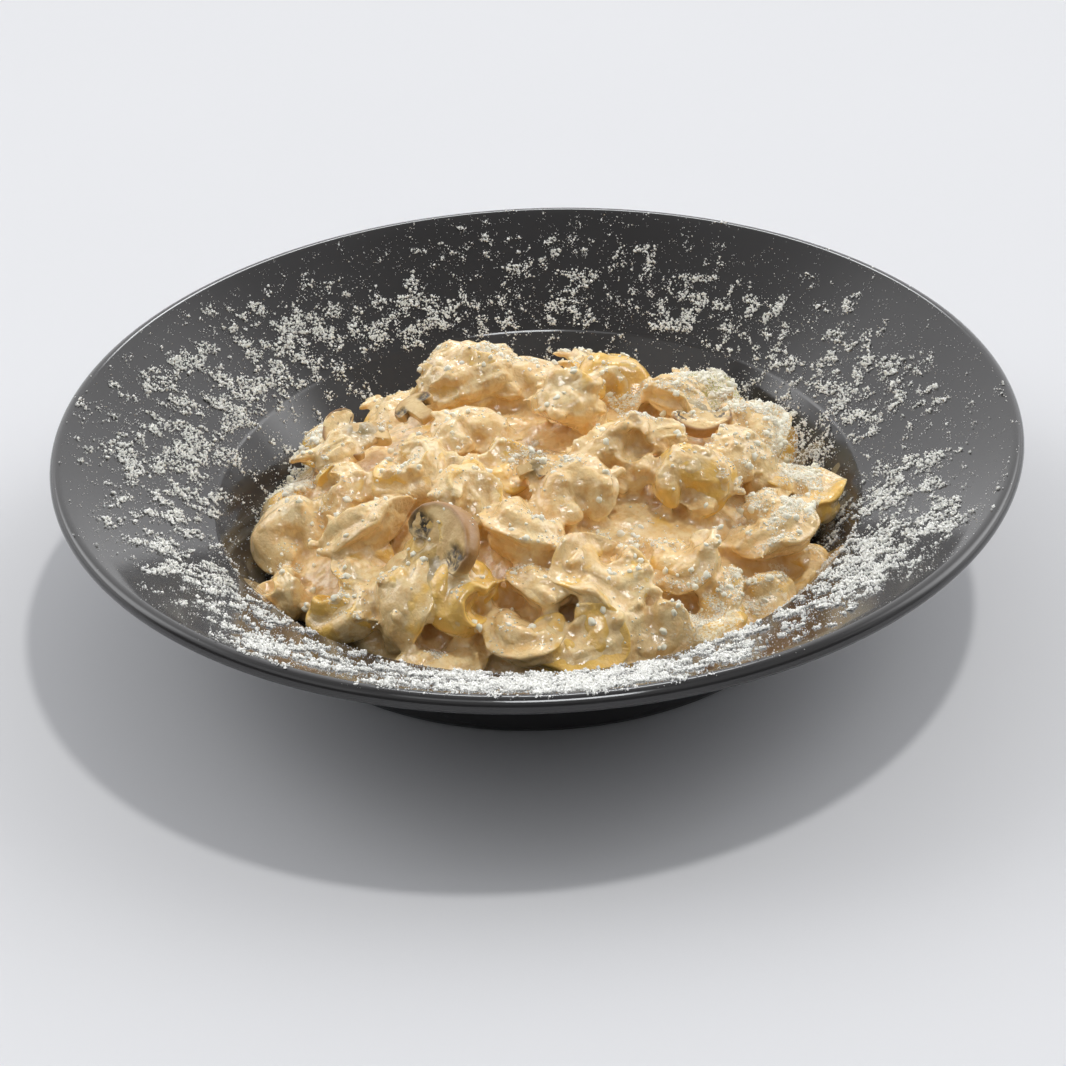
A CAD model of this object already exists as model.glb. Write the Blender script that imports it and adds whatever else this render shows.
"""A wide charcoal pasta plate of tortellini in cream sauce, with mushroom, chicken and grated cheese.

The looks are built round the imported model.  Lengths in the tables are millimetres and angles are
degrees; finished meshes are in metres.  -Y is the front of the dish and +Z is up.
"""

import math

import bmesh
import bpy
import numpy as np
from mathutils import Matrix, Vector


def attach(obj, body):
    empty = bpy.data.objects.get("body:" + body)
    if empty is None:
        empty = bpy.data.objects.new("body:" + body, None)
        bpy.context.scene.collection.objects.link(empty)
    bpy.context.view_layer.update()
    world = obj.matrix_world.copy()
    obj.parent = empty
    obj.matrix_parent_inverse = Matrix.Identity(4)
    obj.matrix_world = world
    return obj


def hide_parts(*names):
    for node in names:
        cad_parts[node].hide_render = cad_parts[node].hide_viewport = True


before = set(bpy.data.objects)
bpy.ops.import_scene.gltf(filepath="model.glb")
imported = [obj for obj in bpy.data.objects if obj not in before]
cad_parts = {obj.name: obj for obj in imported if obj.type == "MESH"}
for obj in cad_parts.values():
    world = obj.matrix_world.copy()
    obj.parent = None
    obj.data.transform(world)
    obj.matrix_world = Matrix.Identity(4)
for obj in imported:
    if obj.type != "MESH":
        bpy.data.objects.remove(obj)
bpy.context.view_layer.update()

MM = 0.001

# ---- plate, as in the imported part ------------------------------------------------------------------
PLATE_RADIUS = 150.0
PLATE_HEIGHT = 54.5
LIP_RADIUS = 2.6
WELL_EDGE_RADIUS = 104.0
WELL_EDGE_HEIGHT = 29.0
WELL_EDGE_ROUND = 4.0
FLOOR_RADIUS = 84.0
FLOOR_HEIGHT = 8.5
FLOOR_ROUND = 7.0
RIM_THICKNESS = 5.0
FOOT_RADIUS = 93.0
FOOT_WIDTH = 5.0
FOOT_DEPTH = 2.5
PLATE_STEPS = 320
SECTION_STEP = 4.5

# ---- mound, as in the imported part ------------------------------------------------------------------
MOUND_TOP = 48.0
MOUND_EDGE = 20.0
MOUND_RADIUS = 94.0
MOUND_POWER = 3.0
FOOD_RADIUS = 90.0          # small things on the food lie within this
CORE_DEPTH = 12.5
SEAT = 6.6

# ---- one tortellino (millimetres at size 1) --------------------------------------------------------
RING_RADIUS = 8.4
RING_STRETCH = 1.14
RING_TUCK = 0.26
RING_HALF_TURN = math.radians(169)
BELLY_RADIUS = 6.3
KNOT_RADIUS = 2.7
KNOT_RISE = 2.0
BRIM_CLOSE = 0.80           # how strongly the columns of the grid gather at the brim
FLATTEN = 0.90              # a piece's height over its natural one, as it lies heavy with sauce
BRIM_BARE = 0.12            # how much barer of sauce the brim is than the rest of the piece
RING_ROWS = 104
RING_COLUMNS = 60
WELL_GAP = 0.1              # gap between a piece and the plate's face
# How creases are found on each food: rounds of relaxing, and the depth that counts as a full crease.
PASTA_CREASES = (10, 1.0)
CHICKEN_CREASES = (8, 0.8)
SAUCE_CREASES = (14, 1.2)

# How each kind is folded: how open its ring is, the brim's turn from flat and how far the brim reaches.
FOLDS = {
    "hat": (0.50, 46, 0.70),
    "plump": (0.30, 18, 0.34),
    "dome": (0.15, -12, 0.26),
    "fold": (0.35, 70, 0.60),
    "ridge": (0.30, 88, 0.80),
    "leaf": (0.20, 4, 0.80),
    "lips": (0.45, 104, 0.55),
}

# x, y and lift over the seat; heading of the belly, lean and roll; size; how bare of sauce, 0 to 1; fold.
TORTELLINI = (
    (20, -60, 1.5, -115, 8, -6, 1.08, 0.35, "hat"),
    (9, -80, 1.5, -65, 18, 10, 1.02, 0.75, "hat"),
    (31, -76, 0.5, -80, 34, 0, 0.92, 0.15, "hat"),
    (-21, -70, 2.0, 140, -42, 8, 1.04, 0.95, "ridge"),
    (-44, -66, 1.0, 8, -38, 0, 0.98, 0.25, "leaf"),
    (-59, -57, 0.5, -75, -12, -8, 1.04, 0.55, "lips"),
    (-79, -41, 0.0, -130, 22, 14, 0.92, 0.25, "lips"),
    (-77, -22, -1.0, 110, -26, 0, 0.94, 0.15, "dome"),
    (-53, -32, 1.5, -80, -36, 4, 1.10, 0.15, "plump"),
    (-41, -9, 1.0, -60, 16, 8, 1.02, 0.45, "fold"),
    (-14, -14, 1.0, -60, 26, -8, 1.04, 0.60, "fold"),
    (10, 21, 1.5, -60, -14, -30, 1.06, 0.25, "ridge"),
    (32, -10, 2.5, 145, 12, -34, 1.12, 0.20, "ridge"),
    (46, -25, 1.5, 75, -34, 6, 1.00, 0.60, "dome"),
    (26, 40, 0.0, 80, -26, 0, 1.04, 0.80, "dome"),
    (-19, 4, -1.0, 95, -12, 10, 1.00, 0.15, "plump"),
    (-2, -44, 0.5, -150, -20, 4, 1.06, 0.10, "plump"),
    (81, -12, 2.0, 35, -4, -20, 1.02, 0.50, "hat"),
    (68, -33, 2.0, -30, -30, 6, 1.04, 0.15, "plump"),
    (68, 18, 0.5, 30, -26, 0, 1.00, 0.10, "plump"),
    (66, -8, 1.5, 100, -18, 12, 0.96, 0.10, "plump"),
    (43, -51, -0.5, -95, 14, 30, 0.94, 0.35, "hat"),
    (48, -71, 0.0, -50, -22, 0, 0.96, 0.50, "dome"),
    (18, -7, 1.0, -75, -14, 24, 0.80, 0.20, "lips"),
    (-50, -50, -1.5, 170, -28, 10, 0.84, 0.45, "plump"),
    (2, -62, -1.5, -100, -20, 0, 0.88, 0.20, "plump"),
    (-23, -34, 0.5, 60, 8, 40, 0.94, 0.30, "fold"),
    (12, -33, -0.5, 110, -16, -10, 1.00, 0.10, "plump"),
    (-5, -77, -1.5, -130, -26, 12, 0.96, 0.20, "plump"),
    (-64, -9, -0.5, -20, 18, 14, 0.88, 0.40, "lips"),
    (-64, 28, -4.0, 150, -24, 6, 0.96, 0.80, "dome"),
    (-2, 38, -1.0, 60, -20, 16, 1.00, 0.20, "plump"),
    (55, 48, -1.5, 60, -24, 0, 0.98, 0.70, "plump"),
    (-43, 48, -9.0, 120, -20, 0, 0.98, 0.30, "plump"),
    (-12, 76, -6.0, 95, 12, 0, 0.96, 0.40, "plump"),
    (22, 72, -5.0, 70, -20, 20, 0.98, 0.40, "plump"),
    (-79, 8, -6.0, 175, 10, 24, 0.90, 0.50, "dome"),
    (76, 37, -8.0, 35, 12, -18, 0.92, 0.50, "dome"),
    (78, -40, -4.5, -30, -18, 24, 0.90, 0.50, "plump"),
    (-29, -79, -4.0, -110, -20, 0, 0.94, 0.25, "plump"),
    (63, -57, -3.5, -45, 16, 20, 0.92, 0.30, "plump"),
)

# x, y, lift, heading, lean, roll, size, thickness: heading 0 points the stem to the front
MUSHROOMS = (
    (-31, -61, 3.8, -58, -10, 36, 1.26, 5.6),
    (-55, 14, -0.6, 100, -24, 20, 0.92, 4.0),
    (53, 22, -0.8, 190, 14, -16, 0.84, 3.6),
    (-37, 22, -1.2, 30, -16, 8, 0.60, 3.0),
    (-2, -24, 0.8, -70, 20, 10, 0.44, 3.0),
)
GREEN_PIECE = 33            # the one made with green dough
MUSHROOM_WIDTH = 24.0
MUSHROOM_STEM = 9.0
MUSHROOM_LENGTH = 24.0

CHUNK_ROWS = 60
CHUNK_COLUMNS = 84
# x, y, lift, heading, lean, roll; length, width and thickness
CHICKEN = (
    (-21, 46, 6.0, 14, -6, 24, 32, 25, 25),
    (41, -4, 3.0, 20, 0, 10, 12, 10, 9),
    (-64, 5, 3.0, 35, 8, 0, 12, 10, 9),
    (55, -62, -0.5, 78, 20, 0, 17, 8, 8),
    (46, 33, 2.0, -30, 0, 8, 16, 13, 10),
    (64, 50, -8.0, 40, 0, 0, 18, 14, 12),
)


# ---- number tools ----------------------------------------------------------------------------------
def soft_noise(points, wavelength, seed):
    """Smooth noise from -1 to 1: random numbers on a cubic lattice of that wavelength, blended between the
    eight lattice points round each place by a smooth step in x, y and z."""
    size = 32
    table = np.random.RandomState(seed).uniform(-1.0, 1.0, (size, size, size))
    place = np.asarray(points, float) / wavelength + 100.0
    low = np.floor(place).astype(int)
    share = place - low
    share = share * share * (3.0 - 2.0 * share)
    total = 0.0
    for corner in np.ndindex(2, 2, 2):
        index = (low + corner) % size
        weight = np.prod(np.where(corner, share, 1.0 - share), axis=-1)
        total = total + weight * table[index[..., 0], index[..., 1], index[..., 2]]
    return total


def rough_noise(points, wavelength, seed, octaves=3):
    """Noise with finer noise on it: each octave has half the wavelength and half the strength."""
    total = 0.0
    for octave in range(octaves):
        total = total + soft_noise(points, wavelength / 2 ** octave, seed + 17 * octave) / 2 ** octave
    return total


def with_noise(value, points, *layers):
    """A value plus layers of smooth noise, each given by its wavelength, its strength and its seed."""
    for wavelength, strength, seed in layers:
        value = value + strength * soft_noise(points, wavelength, seed)
    return value


def noise_vectors(points, wavelength, seed):
    """Three independent noises as a vector at each point."""
    return np.stack([soft_noise(points, wavelength, seed + k) for k in range(3)], axis=-1)


def bump(value, centre, width):
    """A bell: 1 at the centre, falling as exp of minus the squared distance in widths."""
    return np.exp(-((value - centre) / width) ** 2)


def smooth_step(low, high, value):
    """0 below low, 1 above high, with a smooth rise between."""
    share = np.clip((value - low) / (high - low), 0.0, 1.0)
    return share * share * (3.0 - 2.0 * share)


def turned_from(angle, where):
    """How far an angle lies from a direction, in degrees from -180 to 180."""
    return (angle - where + 180.0) % 360.0 - 180.0


def on_table(x, y):
    """Places as points at height 0."""
    return np.stack([x, y, 0 * x], axis=-1)


# ---- mesh tools ------------------------------------------------------------------------------------
def grid_triangles(rows, columns, wrap):
    """Triangles between neighbours of a grid of rows by columns; wrap joins the last column to the first."""
    r = np.arange(rows - 1)[:, None]
    c = np.arange(columns if wrap else columns - 1)[None, :]
    n = (c + 1) % columns
    a, b, d, e = r * columns + c, r * columns + n, (r + 1) * columns + c, (r + 1) * columns + n
    halves = (np.stack([a, b, e], -1), np.stack([a, e, d], -1))
    return np.concatenate([half.reshape(-1, 3) for half in halves])


def fan_triangles(ring, tip, flip):
    """Triangles from each edge of a ring of vertices to one tip."""
    nxt = np.roll(ring, -1)
    made = np.stack([ring, nxt, np.full_like(ring, tip)], -1)
    return made[:, ::-1] if flip else made


def tube_solid(points):
    """A closed solid from a grid whose columns go round: quads between the rows, and a fan at each end."""
    rows, columns, _ = points.shape
    flat = points.reshape(-1, 3)
    tips = np.stack([points[0].mean(0), points[-1].mean(0)])
    faces = [grid_triangles(rows, columns, True),
             fan_triangles(np.arange(columns), rows * columns, True),
             fan_triangles(np.arange(columns) + (rows - 1) * columns, rows * columns + 1, False)]
    return np.concatenate([flat, tips]), np.concatenate(faces)


def outward(vertices, faces):
    """The faces, turned over if the solid's signed volume is below zero."""
    a, b, c = (vertices[faces[:, k]] for k in range(3))
    volume = np.einsum("ij,ij->i", a, np.cross(b, c)).sum()
    return faces[:, ::-1] if volume < 0 else faces


def mesh_of(name, vertices, faces, smooth=True, **values):
    """A triangle mesh in metres from arrays in millimetres, with named numbers on its vertices."""
    faces = np.ascontiguousarray(faces, dtype=np.int32)
    mesh = bpy.data.meshes.new(name)
    mesh.vertices.add(len(vertices))
    mesh.vertices.foreach_set("co", np.ascontiguousarray(vertices * MM, dtype=np.float32).ravel())
    mesh.loops.add(faces.size)
    mesh.loops.foreach_set("vertex_index", faces.ravel())
    mesh.polygons.add(len(faces))
    mesh.polygons.foreach_set("loop_start", np.arange(0, faces.size, 3, dtype=np.int32))
    mesh.polygons.foreach_set("use_smooth", np.full(len(faces), smooth))
    mesh.update(calc_edges=True)
    for key, value in values.items():
        made = mesh.attributes.new(key, "FLOAT", "POINT")
        made.data.foreach_set("value", np.ascontiguousarray(value, dtype=np.float32).ravel())
    return mesh


def arrays_of(mesh):
    """A mesh's vertices in millimetres and its triangles."""
    mesh.calc_loop_triangles()
    vertices = np.empty(len(mesh.vertices) * 3, np.float32)
    mesh.vertices.foreach_get("co", vertices)
    faces = np.empty(len(mesh.loop_triangles) * 3, np.int32)
    mesh.loop_triangles.foreach_get("vertices", faces)
    return vertices.reshape(-1, 3).astype(float) / MM, faces.reshape(-1, 3)


def vertex_normals(vertices, faces):
    """Each vertex's outward direction: the sum of its faces' area vectors, made one long."""
    a, b, c = (vertices[faces[:, k]] for k in range(3))
    area = np.cross(b - a, c - a)
    total = np.zeros_like(vertices)
    for k in range(3):
        for axis in range(3):
            total[:, axis] += np.bincount(faces[:, k], area[:, axis], len(vertices))
    return total / np.maximum(np.linalg.norm(total, axis=1, keepdims=True), 1e-9)


def edges_of(faces):
    """Every edge of the triangles once, as pairs of vertices."""
    pairs = np.concatenate([faces[:, [0, 1]], faces[:, [1, 2]], faces[:, [2, 0]]])
    pairs.sort(axis=1)
    return np.unique(pairs, axis=0)


def neighbour_mean(values, edges):
    """For each vertex, the mean of a value over the vertices joined to it."""
    columns = values.reshape(len(values), -1)
    count = np.bincount(edges.ravel(), minlength=len(values))[:, None]
    total = np.stack([np.bincount(edges[:, 0], columns[edges[:, 1], k], len(values))
                      + np.bincount(edges[:, 1], columns[edges[:, 0], k], len(values))
                      for k in range(columns.shape[1])], axis=-1)
    return (total / np.maximum(count, 1)).reshape(values.shape)


def relaxed(vertices, edges, rounds, strength=0.5):
    """Vertices moved part of the way to their neighbours' mean, several times."""
    for _ in range(rounds):
        vertices = vertices + strength * (neighbour_mean(vertices, edges) - vertices)
    return vertices


def creases(vertices, faces, rounds, depth):
    """How deep each vertex lies in a crease, 0 to 1: how far its relaxed place is out along its normal, as a
    share of a depth in millimetres."""
    eased = relaxed(vertices, edges_of(faces), rounds, 0.6)
    hollow = np.einsum("ij,ij->i", eased - vertices, vertex_normals(vertices, faces))
    return np.clip(hollow / depth, 0.0, 1.0)


DUSTY_SIDES = ((16, 46), (-52, 16), (170, 20))          # direction and spread of each, in degrees


def dusting(points):
    """How much dry cheese lies over a place on the food, 0 to 1: patches of noise, with more in the middle,
    at the right and at the back, and most along the heap's edge at its dusty sides."""
    x, y = points[..., 0], points[..., 1]
    drift = 0.26 + 0.20 * smooth_step(20.0, 80.0, x) + 0.25 * smooth_step(25.0, 60.0, y)
    drift = drift + 0.30 * bump(np.hypot(x - 8.0, y + 22.0), 0.0, 26.0)
    angle = np.degrees(np.arctan2(y, x))
    sides = sum(bump(turned_from(angle, where), 0.0, spread) for where, spread in DUSTY_SIDES)
    drift = drift + 0.60 * smooth_step(64.0, 84.0, np.hypot(x, y)) * sides
    patches = with_noise(0.0, on_table(x, y), (16.0, 0.60, 81), (6.0, 0.45, 82), (2.6, 0.30, 83))
    return np.clip(1.7 * (drift + 0.85 * patches - 0.46), 0.0, 1.0)


def dust_on(vertices, faces):
    """The dusting of each vertex, less where it faces sideways and none where it faces down."""
    return dusting(vertices) * smooth_step(0.05, 0.75, vertex_normals(vertices, faces)[:, 2])


def show(name, mesh, finish, slot, *nodes):
    """Puts a finished piece at the origin, with its body, its slot and the CAD nodes it stands for."""
    mesh.materials.clear()
    mesh.materials.append(finish)
    made = bpy.data.objects.new(name, mesh)
    bpy.context.scene.collection.objects.link(made)
    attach(made, "root")
    if nodes:
        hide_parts(*nodes)


def show_solid(name, vertices, faces, finish, slot, *nodes, smooth=True, **values):
    """Puts a piece in place from its arrays."""
    show(name, mesh_of(name, vertices, faces, smooth, **values), finish, slot, *nodes)


# ---- where things lie ------------------------------------------------------------------------------
def mound_height(radius):
    """Height of the mound's smooth surface: the edge height, plus the rest times 1 minus a power of the
    radius."""
    share = np.minimum(1.0, radius / MOUND_RADIUS)
    return MOUND_EDGE + (MOUND_TOP - MOUND_EDGE) * (1.0 - share ** MOUND_POWER)


def seat(x, y, lift, heading, lean, roll, depth):
    """The pose of a piece lying on the mound, in millimetres: the surface's direction, then its own turns."""
    radius = math.hypot(x, y)
    slope = float(mound_height(radius + 0.5) - mound_height(max(0.0, radius - 0.5)))
    away = Vector((x, y, 0.0)).normalized()
    normal = (Vector((0.0, 0.0, 1.0)) - slope * away).normalized()
    upright = Vector((0.0, 0.0, 1.0)).rotation_difference(normal).to_matrix().to_4x4()
    turn = (Matrix.Rotation(math.radians(heading), 4, "Z") @ Matrix.Rotation(math.radians(lean), 4, "Y")
            @ Matrix.Rotation(math.radians(roll), 4, "X"))
    height = float(mound_height(radius)) - depth + lift
    return Matrix.Translation((x, y, height)) @ upright @ turn


def posed(points, pose):
    """Points carried by a pose."""
    matrix = np.array(pose)
    return points @ matrix[:3, :3].T + matrix[:3, 3]


def arc(centre_r, centre_z, radius, start, end, count):
    """Points on a circular arc in the r-z plane."""
    turns = np.radians(np.linspace(start, end, count))
    return np.stack([centre_r + radius * np.cos(turns), centre_z + radius * np.sin(turns)], axis=-1)


def plate_inside():
    """The plate's upper section from the middle to the start of the lip, and the rim's slope in degrees."""
    lip_r, lip_z = PLATE_RADIUS - LIP_RADIUS, PLATE_HEIGHT - LIP_RADIUS
    slope = math.degrees(math.atan2(lip_z + LIP_RADIUS - WELL_EDGE_HEIGHT, lip_r - WELL_EDGE_RADIUS))
    floor = np.stack([np.linspace(0.5, FLOOR_RADIUS - 4.0, 8), np.full(8, FLOOR_HEIGHT)], axis=-1)
    points = [floor,
              arc(FLOOR_RADIUS, FLOOR_HEIGHT + FLOOR_ROUND, FLOOR_ROUND, -90, -36, 10),
              arc(WELL_EDGE_RADIUS + 1.0, WELL_EDGE_HEIGHT - WELL_EDGE_ROUND, WELL_EDGE_ROUND,
                  144, 90 + slope, 9)]
    return np.concatenate(points), slope


def spread_along(points, step):
    """The same line with extra points so that none are further apart than a step."""
    reach = np.concatenate([[0.0], np.cumsum(np.linalg.norm(np.diff(points, axis=0), axis=1))])
    stops = [reach[:1]]
    for low, high in zip(reach[:-1], reach[1:]):
        count = max(1, math.ceil((high - low) / step))
        stops.append(np.linspace(low, high, count + 1)[1:])
    stops = np.concatenate(stops)
    return np.stack([np.interp(stops, reach, points[:, k]) for k in range(points.shape[1])], axis=-1)


def plate_solid():
    """The plate: its section goes once round the middle, so x = r cos a, y = r sin a and z follows it.  The
    section runs out over the face, round the lip, back under the rim and round the foot ring."""
    inside, slope = plate_inside()
    lip = arc(PLATE_RADIUS - LIP_RADIUS, PLATE_HEIGHT - LIP_RADIUS, LIP_RADIUS, 90 + slope, -90 + slope, 16)
    tilt = math.radians(slope)
    under = RIM_THICKNESS / math.cos(tilt)
    outside = np.array([(WELL_EDGE_RADIUS + 12.0, WELL_EDGE_HEIGHT + 12.0 * math.tan(tilt) - under),
                        (WELL_EDGE_RADIUS + 6.0, WELL_EDGE_HEIGHT + 6.0 * math.tan(tilt) - under - 0.4),
                        (WELL_EDGE_RADIUS + 2.0, WELL_EDGE_HEIGHT - under - 2.2),
                        (FOOT_RADIUS + 5.0, FLOOR_HEIGHT + 6.0), (FOOT_RADIUS + 1.6, FOOT_DEPTH + 1.5),
                        (FOOT_RADIUS + 0.8, FOOT_DEPTH - 0.8), (FOOT_RADIUS + 0.3, 0.5),
                        (FOOT_RADIUS - 0.6, 0.05),
                        (FOOT_RADIUS - 1.2, 0.0), (FOOT_RADIUS - FOOT_WIDTH + 1.2, 0.0),
                        (FOOT_RADIUS - FOOT_WIDTH + 0.5, 0.08), (FOOT_RADIUS - FOOT_WIDTH, 0.6),
                        (FOOT_RADIUS - FOOT_WIDTH - 0.9, FOOT_DEPTH - 0.3),
                        (FOOT_RADIUS - FOOT_WIDTH - 2.4, FOOT_DEPTH), (0.5, FOOT_DEPTH)])
    section = spread_along(np.concatenate([inside, lip, outside]), SECTION_STEP)
    turns = np.linspace(0.0, 2.0 * math.pi, PLATE_STEPS, endpoint=False)
    points = np.stack([section[:, :1] * np.cos(turns), section[:, :1] * np.sin(turns),
                       np.repeat(section[:, 1:], PLATE_STEPS, axis=1)], axis=-1)
    vertices, faces = tube_solid(points)
    return vertices, outward(vertices, faces)


# ---- pasta, mushroom and chicken -------------------------------------------------------------------
def ring_point(turn, size, opened):
    """Centre line of the stuffed ring and its section radius: the reach and the radius shrink from the belly
    to the knot, and one end rises over the other.  A closed ring is fatter and its hole is only a navel."""
    share = 0.5 + 0.5 * np.cos(turn * math.pi / RING_HALF_TURN)
    reach = RING_RADIUS * (0.74 + 0.26 * opened) * size * (1.0 - RING_TUCK * (1.0 - share))
    rise = np.sign(turn) * KNOT_RISE * size * (1.0 - share) ** 2
    centre = np.stack([reach * np.cos(turn), reach * RING_STRETCH * np.sin(turn), rise], axis=-1)
    radius = size * (KNOT_RADIUS + (BELLY_RADIUS - KNOT_RADIUS) * share ** 0.7) * (1.16 - 0.18 * opened)
    return centre, radius, share


def tortellino(size, seed, opened, brim_turn, brim_reach):
    """A stuffed ring.  Round the ring the section is a circle whose radius grows by a narrow bell at the
    sealed edge, which makes a thin wavy brim that curls to one side, and shrinks by two shallow bells beside
    it.  The columns gather at the brim as u - k sin u.  Noise bends the whole and folds its skin."""
    turn = np.linspace(-RING_HALF_TURN, RING_HALF_TURN, RING_ROWS)[:, None]
    step = np.linspace(-math.pi, math.pi, RING_COLUMNS, endpoint=False)[None, :]
    away = step - BRIM_CLOSE * np.sin(step)
    dice = np.random.RandomState(seed)
    centre, radius, share = ring_point(turn[:, 0], size, opened)
    ends = np.sqrt(np.clip(1.0 - (np.abs(turn[:, 0]) / RING_HALF_TURN) ** 14, 0.06, 1.0))
    line = np.stack([turn[:, 0] * 9.0, np.zeros(RING_ROWS), np.zeros(RING_ROWS)], axis=-1)
    wander = 0.34 * soft_noise(line, 7.0, seed + 1)[:, None]
    edge = math.radians(brim_turn) + wander + dice.uniform(-0.15, 0.15)
    reach = brim_reach * dice.uniform(0.8, 1.15) * (0.45 + 0.55 * share[:, None] ** 0.5)
    reach = reach * np.clip(1.0 + 0.45 * soft_noise(line, 9.0, seed + 2)[:, None], 0.25, 1.4)
    brim = reach * np.exp(-np.abs(away / 0.22) ** 1.9)
    crease = 0.10 * bump(np.abs(away), 0.52, 0.22) * share[:, None]
    swell = (radius * ends)[:, None] * (1.0 + brim - crease)
    around = edge + away
    curl = 1.6 * size * soft_noise(line, 8.0, seed + 3)[:, None] * brim ** 2
    out = np.stack([np.cos(turn[:, 0]), np.sin(turn[:, 0]), np.zeros(RING_ROWS)], axis=-1)
    across = swell * np.cos(around) - curl * np.sin(around)
    upward = swell * np.sin(around) + curl * np.cos(around)
    high = np.array([0.0, 0.0, 1.0])
    points = centre[:, None, :] + across[..., None] * out[:, None, :] + upward[..., None] * high
    shift = 100.0 * seed
    ridge = 1.0 - 2.0 * np.abs(soft_noise(points + shift, 8.0, 13))
    normal = np.cos(around)[..., None] * out[:, None, :] + np.sin(around)[..., None] * high
    fold = with_noise(0.55 * ridge, points + shift, (2.8, 0.30, 15), (1.4, 0.12, 16))
    points = points + fold[..., None] * normal * (1.0 - 0.7 * np.clip(brim, 0, 1))[..., None]
    bend, wrinkle = noise_vectors(points + shift, 10.0, 3), noise_vectors(points + shift, 4.4, 9)
    points = (points + 1.7 * bend + 0.45 * wrinkle) * np.array([1.0, 1.0, FLATTEN])
    return points, np.broadcast_to(np.clip(brim / 0.5, 0.0, 1.0), swell.shape)


def mushroom(size, thickness, seed):
    """A slice of mushroom: rings of one outline, shrinking from the edge to the middle on both faces, with a
    rounded edge between them.  The outline is half an ellipse for the cap, a curled lip on each side and a
    straight stem.  Gives vertices, faces and the masks for gills and skin."""
    half, stem, length = MUSHROOM_WIDTH * size / 2.0, MUSHROOM_STEM * size / 2.0, MUSHROOM_LENGTH * size
    rise, low = 0.72 * half, 0.72 * half - length
    cap = [(half * math.cos(a), rise * math.sin(a)) for a in np.radians(np.linspace(0, 180, 25))]
    left = [(-half * 1.0, -half * 0.14), (-half * 0.90, -half * 0.30), (-half * 0.74, -half * 0.34),
            (-half * 0.60, -half * 0.22), (-stem * 1.15, -half * 0.16), (-stem, -half * 0.34),
            (-stem * 0.92, low * 0.6), (-stem * 0.98, low * 0.93), (-stem * 0.8, low)]
    right = [(-x, y) for x, y in left[::-1]]
    outline = spread_along(np.array(cap + left + right + cap[:1]), 0.35)[:-1]
    outline = outline + np.array([0.0, length / 4.0])
    thick = thickness / 2.0
    middle = np.array([0.0, length / 4.0 + 0.05 * half])
    rings = [(s, 1.0) for s in (0.04, 0.12, 0.22, 0.32, 0.42, 0.52, 0.62, 0.72, 0.80, 0.87, 0.92)]
    edge = [(0.92 + 0.08 * math.sin(a), math.cos(a)) for a in np.radians(np.linspace(20, 160, 8))]
    rings = rings + edge + [(s, -1.0) for s, _ in rings[::-1]]
    share = np.array([r[0] for r in rings])[:, None, None]
    level = np.array([r[1] for r in rings])[:, None]
    flat = middle + (outline[None] - middle) * share
    x, y = flat[..., 0], flat[..., 1] - length / 4.0
    under = smooth_step(-0.42 * half, -0.10 * half, y) * (1.0 - smooth_step(0.10 * half, 0.34 * half, y))
    beside_stem = smooth_step(stem * 0.75, stem * 1.25, np.abs(x))
    gill = under * beside_stem * (1.0 - smooth_step(0.86 * half, 0.97 * half, np.abs(x)))
    skin = smooth_step(0.78, 0.95, share[..., 0]) * smooth_step(-0.3 * half, 0.05 * half, y)
    ridges = np.sin(np.arctan2(np.abs(x), y + 1.4 * half) * 70.0)
    height = thick * level * (1.0 - 0.35 * gill) + 0.16 * gill * ridges * np.sign(level)
    points = np.concatenate([flat, height[..., None]], axis=-1)
    points[..., 2] += 0.010 * x ** 2 - 0.006 * y ** 2
    bend, wrinkle = noise_vectors(points + 50.0 * seed, 9.0, 21), noise_vectors(points, 2.4, 23)
    points = points + 0.5 * bend + 0.12 * wrinkle
    vertices, faces = tube_solid(points)
    tips = [0.0, 0.0]
    return vertices, outward(vertices, faces), np.append(gill.ravel(), tips), np.append(skin.ravel(), tips)


def chicken(lengths, seed):
    """A torn chunk: a ball pushed towards a block by a power on each direction, stretched to its size, with
    long ridges along x for the fibres and coarse noise for the torn sides."""
    dip = np.linspace(0.03, math.pi - 0.03, CHUNK_ROWS)[:, None]
    around = np.linspace(0.0, 2.0 * math.pi, CHUNK_COLUMNS, endpoint=False)[None, :]
    side = np.sin(dip)
    ball = np.stack([np.cos(dip) + 0 * around, side * np.cos(around), side * np.sin(around)], axis=-1)
    block = np.sign(ball) * np.abs(ball) ** 0.72
    half = np.array(lengths, float) / 2.0
    points = block * half
    fibre = 1.0 - 2.0 * np.abs(rough_noise(points * np.array([0.12, 1.0, 1.0]) + 40.0 * seed, 3.4, 31, 2))
    torn = rough_noise(points + 40.0 * seed, 7.0, 35, 3)
    pushed = (0.10 * min(lengths) * torn + 1.15 * fibre)[..., None]
    grow = 1.0 + pushed / np.linalg.norm(points, axis=-1)[..., None]
    vertices, faces = tube_solid(points * grow)
    return vertices, outward(vertices, faces)


# ---- sauce -----------------------------------------------------------------------------------------
def revoxel(vertices, faces, size):
    """The outer skin of some closed meshes, remade from voxels of one size."""
    mesh = mesh_of("skin", vertices, faces)
    rough = bpy.data.objects.new("skin", mesh)
    bpy.context.scene.collection.objects.link(rough)
    remesh = rough.modifiers.new("Remesh", "REMESH")
    remesh.mode = "VOXEL"
    remesh.voxel_size = size * MM
    graph = bpy.context.evaluated_depsgraph_get()
    graph.update()
    skin = bpy.data.meshes.new_from_object(rough.evaluated_get(graph))
    made = arrays_of(skin)
    bpy.data.objects.remove(rough, do_unlink=True)
    bpy.data.meshes.remove(mesh)
    bpy.data.meshes.remove(skin)
    return made


def moved_out(vertices, faces, distance):
    """Every vertex moved along its normal."""
    return vertices + vertex_normals(vertices, faces) * np.reshape(distance, (-1, 1)), faces


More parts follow.
